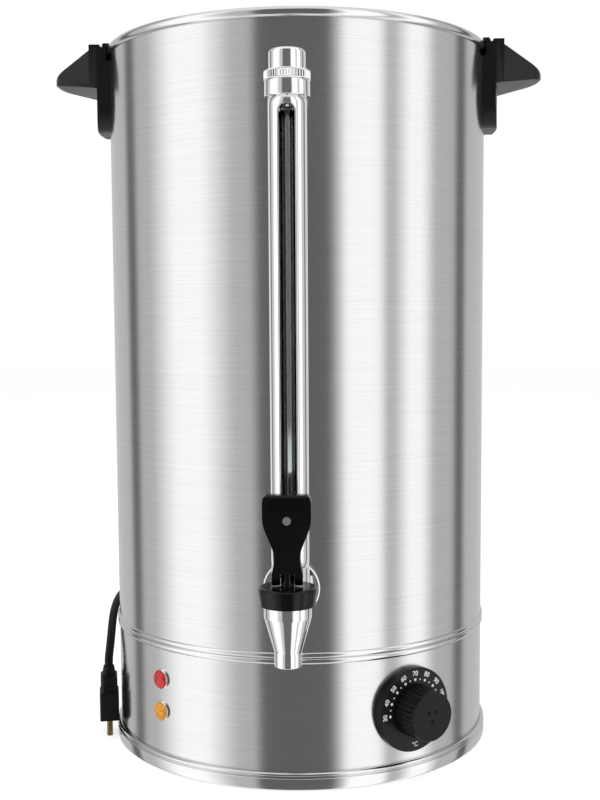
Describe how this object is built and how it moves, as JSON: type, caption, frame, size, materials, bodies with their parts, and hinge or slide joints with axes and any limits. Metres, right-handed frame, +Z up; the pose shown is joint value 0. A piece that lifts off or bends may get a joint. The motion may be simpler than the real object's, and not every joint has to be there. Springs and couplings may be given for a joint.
{
  "type": "hot water urn",
  "caption": "Tall brushed steel hot water urn with drop-in lid, side handles, level gauge, self-closing tap, thermostat dial, pilot lamps and mains lead.",
  "frame": {"origin": "centre of the rest plane, on the tank's axis", "axes": "+Z up, tap and gauge face -Y, thermostat dial on the +X side of the tap"},
  "size_m": [0.405, 0.5043, 0.6003],
  "materials": {
    "brushed_steel": "brushed round the tank",
    "plain_steel": "plain",
    "chrome": "polished",
    "black_plastic": "moulded, semi-gloss",
    "black_rubber": "satin",
    "silicone": "matt",
    "red_lens": "clear tinted",
    "amber_lens": "clear tinted",
    "clear_glass": "clear",
    "brass": "bright"
  },
  "bodies": {
    "urn": {"base_skirt": "brushed_steel", "bottom_plate": "plain_steel", "bottom_ring": "brushed_steel", "capillary": "plain_steel", "cord_gland": "black_rubber", "cord_hook": "plain_steel", "dial_plate": "black_plastic", "dry_boil_cutout": "plain_steel", "floor_stud": "plain_steel", "foot_nuts": "plain_steel", "foot_screws": "plain_steel", "gauge_cap": "chrome", "gauge_glass": "clear_glass", "gauge_guard": "chrome", "gauge_head": "chrome", "gauge_head_nut": "plain_steel", "gauge_head_seal": "silicone", "gauge_head_washer": "plain_steel", "gauge_knurled_ring": "chrome", "gauge_seals": "silicone", "gland_nut": "black_plastic", "handle_backing_plates": "plain_steel", "handle_left": "black_plastic", "handle_right": "black_plastic", "handle_screws": "plain_steel", "heat_lamp_lens": "red_lens", "heating_ring": "plain_steel", "lamp_bezels": "chrome", "lamp_holders": "black_plastic", "lamp_nuts": "plain_steel", "lead_coil": "black_rubber", "lead_gland_run": "black_rubber", "lead_plug_run": "black_rubber", "plug_body": "black_rubber", "plug_pins": "brass", "pressure_plate": "plain_steel", "rubber_feet": "black_rubber", "sensor_bulb": "plain_steel", "stud_nut": "plain_steel", "tank_floor": "brushed_steel", "tank_wall": "brushed_steel", "tap_body": "chrome", "tap_bonnet": "black_plastic", "tap_inner_seal": "silicone", "tap_shank_nut": "plain_steel", "tap_wall_seal": "silicone", "thermostat_body": "black_plastic", "thermostat_screws": "plain_steel", "warm_lamp_lens": "amber_lens"},
    "lid": {"lid_pan": "brushed_steel", "lid_knob": "black_plastic", "lid_screw": "plain_steel"},
    "dial": {"dial_knob": "black_plastic", "thermostat_spindle": "chrome"},
    "lever": {"tap_lever": "black_plastic", "lever_screw": "plain_steel", "lever_pin": "plain_steel"},
    "stem": {"tap_stem": "plain_steel", "tap_seat_cup": "silicone", "tap_spring": "plain_steel"}
  },
  "joints": [
    {"name": "lid_lift", "type": "slide", "parent": "urn", "child": "lid", "axis": [0, 0, 1], "range_m": [0, 0.15]},
    {"name": "dial_turn", "type": "hinge", "parent": "urn", "child": "dial", "pos_m": [0.09464, -0.13516, 0.0545], "axis": [0.5736, -0.8192, 0], "range_deg": [-270, 0]},
    {"name": "lever_tilt", "type": "hinge", "parent": "urn", "child": "lever", "pos_m": [0, -0.215, 0.176], "axis": [1, 0, 0], "range_deg": [0, 35]},
    {"name": "stem_lift", "type": "slide", "parent": "urn", "child": "stem", "axis": [0, 0, 1], "range_m": [0, 0.004], "stiffness_N_per_m": 400, "springref_m": -0.003, "deforming": ["tap_spring"]}
  ],
  "couplings": [
    {"joint": "lever_tilt", "follows": "stem_lift", "rad_per_m": 152.7}
  ]
}
